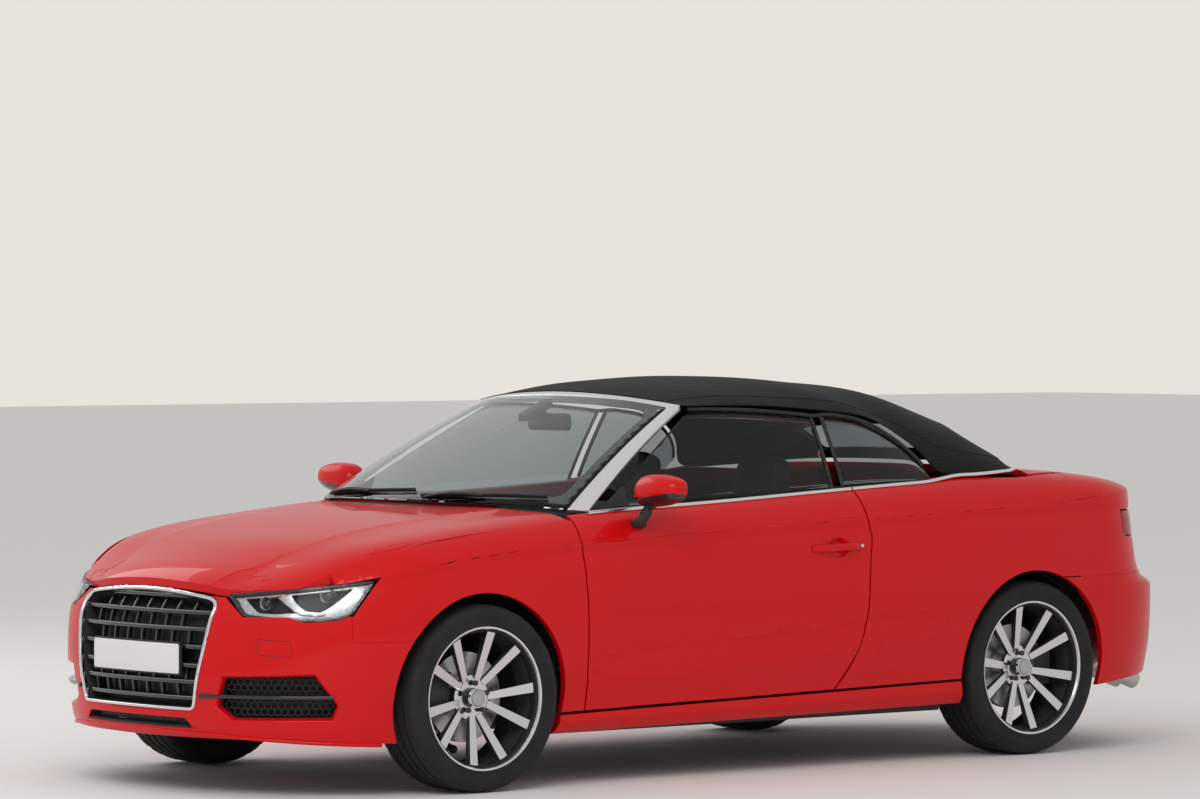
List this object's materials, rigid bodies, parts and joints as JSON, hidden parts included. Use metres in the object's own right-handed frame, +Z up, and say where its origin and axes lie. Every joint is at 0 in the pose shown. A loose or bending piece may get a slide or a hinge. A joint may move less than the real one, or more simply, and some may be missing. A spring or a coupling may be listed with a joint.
{
  "type": "two-door convertible car with fabric roof",
  "caption": "Red two-door convertible car with its black fabric roof closed, opening doors, bonnet and boot lid, steered front wheels and spoked alloy wheels.",
  "frame": {"origin": "centre of the car's bounding box on the ground, with the mirrors included in its width", "axes": "front faces -Y, +X is the car's left side, +Z is up from the ground"},
  "size_m": [2.091, 4.4065, 1.4073],
  "materials": {
    "body_structure": "satin",
    "red_paint": "gloss",
    "silver_trim": "satin",
    "black_gloss": "gloss",
    "black_plastic": "matte",
    "clear_lens": "gloss",
    "red_lens": "gloss",
    "clear_glass": "gloss",
    "tinted_glass": "gloss",
    "black_cloth": "matte",
    "cabin_plastic": "matte",
    "black_leather": "satin",
    "cast_metal": "rough",
    "dark_steel": "satin",
    "exhaust_steel": "satin",
    "wheel_alloy": "machined",
    "tyre_rubber": "matte",
    "disc_iron": "turned"
  },
  "bodies": {
    "body": {"body_shell": "body_structure", "boot_tub": "body_structure", "front_bumper": "red_paint", "grille_frame": "silver_trim", "grille_bars": "black_gloss", "bumper_intakes": "black_plastic", "headlamp_housings": "black_plastic", "headlamp_lenses": "clear_lens", "front_fenders": "red_paint", "side_skirts": "red_paint", "quarter_panels": "red_paint", "tail_lamps": "red_lens", "rear_deck": "red_paint", "rear_bumper": "red_paint", "windscreen_frame": "silver_trim", "windscreen": "clear_glass", "soft_top": "black_cloth", "rear_window": "clear_glass", "quarter_glass": "tinted_glass", "cowl": "black_plastic", "dashboard": "cabin_plastic", "front_seats": "black_leather", "rear_seat": "black_leather", "interior_mirror": "cabin_plastic", "arch_liners": "black_plastic", "engine_block": "cast_metal", "front_subframe": "dark_steel", "strut_rods": "dark_steel", "rear_axle": "dark_steel", "exhaust": "exhaust_steel"},
    "bonnet": {"bonnet": "red_paint"},
    "boot_lid": {"boot_lid": "red_paint", "boot_lamps": "red_lens"},
    "steering_wheel": {"steering_wheel": "cabin_plastic"},
    "door_left": {"door_left": "red_paint", "door_glass_left": "tinted_glass", "mirror_left": "red_paint"},
    "knuckle_left": {"knuckle_left": "dark_steel"},
    "door_right": {"door_right": "red_paint", "door_glass_right": "tinted_glass", "mirror_right": "red_paint"},
    "knuckle_right": {"knuckle_right": "dark_steel"},
    "wheel_front_left": {"rim_front_left": "wheel_alloy", "tyre_front_left": "tyre_rubber", "brake_disc_front_left": "disc_iron"},
    "wheel_front_right": {"rim_front_right": "wheel_alloy", "tyre_front_right": "tyre_rubber", "brake_disc_front_right": "disc_iron"},
    "wheel_rear_left": {"rim_rear_left": "wheel_alloy", "tyre_rear_left": "tyre_rubber", "brake_disc_rear_left": "disc_iron"},
    "wheel_rear_right": {"rim_rear_right": "wheel_alloy", "tyre_rear_right": "tyre_rubber", "brake_disc_rear_right": "disc_iron"}
  },
  "joints": [
    {"name": "bonnet_hinge", "type": "hinge", "parent": "body", "child": "bonnet", "pos_m": [0, -0.897, 0.918], "axis": [-1, 0, 0], "range_deg": [0, 55]},
    {"name": "boot_lid_hinge", "type": "hinge", "parent": "body", "child": "boot_lid", "pos_m": [0, 1.53, 1.056], "axis": [1, 0, 0], "range_deg": [0, 70]},
    {"name": "door_left_hinge", "type": "hinge", "parent": "body", "child": "door_left", "pos_m": [0.88, -0.845, 0.6], "axis": [0, 0, -1], "range_deg": [0, 65]},
    {"name": "door_right_hinge", "type": "hinge", "parent": "body", "child": "door_right", "pos_m": [-0.88, -0.845, 0.6], "axis": [0, 0, 1], "range_deg": [0, 65]},
    {"name": "steer_left", "type": "hinge", "parent": "body", "child": "knuckle_left", "pos_m": [0.7015, -1.3345, 0.15], "axis": [-0.2082, 0, 0.9781], "range_deg": [-32, 32]},
    {"name": "steer_right", "type": "hinge", "parent": "body", "child": "knuckle_right", "pos_m": [-0.7015, -1.3345, 0.15], "axis": [0.2082, 0, 0.9781], "range_deg": [-32, 32]},
    {"name": "steering_wheel_turn", "type": "hinge", "parent": "body", "child": "steering_wheel", "pos_m": [0.36756, -0.2965, 0.8454], "axis": [0, 0.9135, 0.4067], "range_deg": [-480, 480]},
    {"name": "wheel_front_left_spin", "type": "hinge", "parent": "knuckle_left", "child": "wheel_front_left", "pos_m": [0.7775, -1.3345, 0.3235], "axis": [1, 0, 0], "continuous": true},
    {"name": "wheel_front_right_spin", "type": "hinge", "parent": "knuckle_right", "child": "wheel_front_right", "pos_m": [-0.7775, -1.3345, 0.3235], "axis": [1, 0, 0], "continuous": true},
    {"name": "wheel_rear_left_spin", "type": "hinge", "parent": "body", "child": "wheel_rear_left", "pos_m": [0.763, 1.2605, 0.3235], "axis": [1, 0, 0], "continuous": true},
    {"name": "wheel_rear_right_spin", "type": "hinge", "parent": "body", "child": "wheel_rear_right", "pos_m": [-0.763, 1.2605, 0.3235], "axis": [1, 0, 0], "continuous": true}
  ],
  "couplings": [
    {"joint": "steer_right", "follows": "steer_left", "ratio": 1},
    {"joint": "steering_wheel_turn", "follows": "steer_left", "ratio": 15}
  ]
}
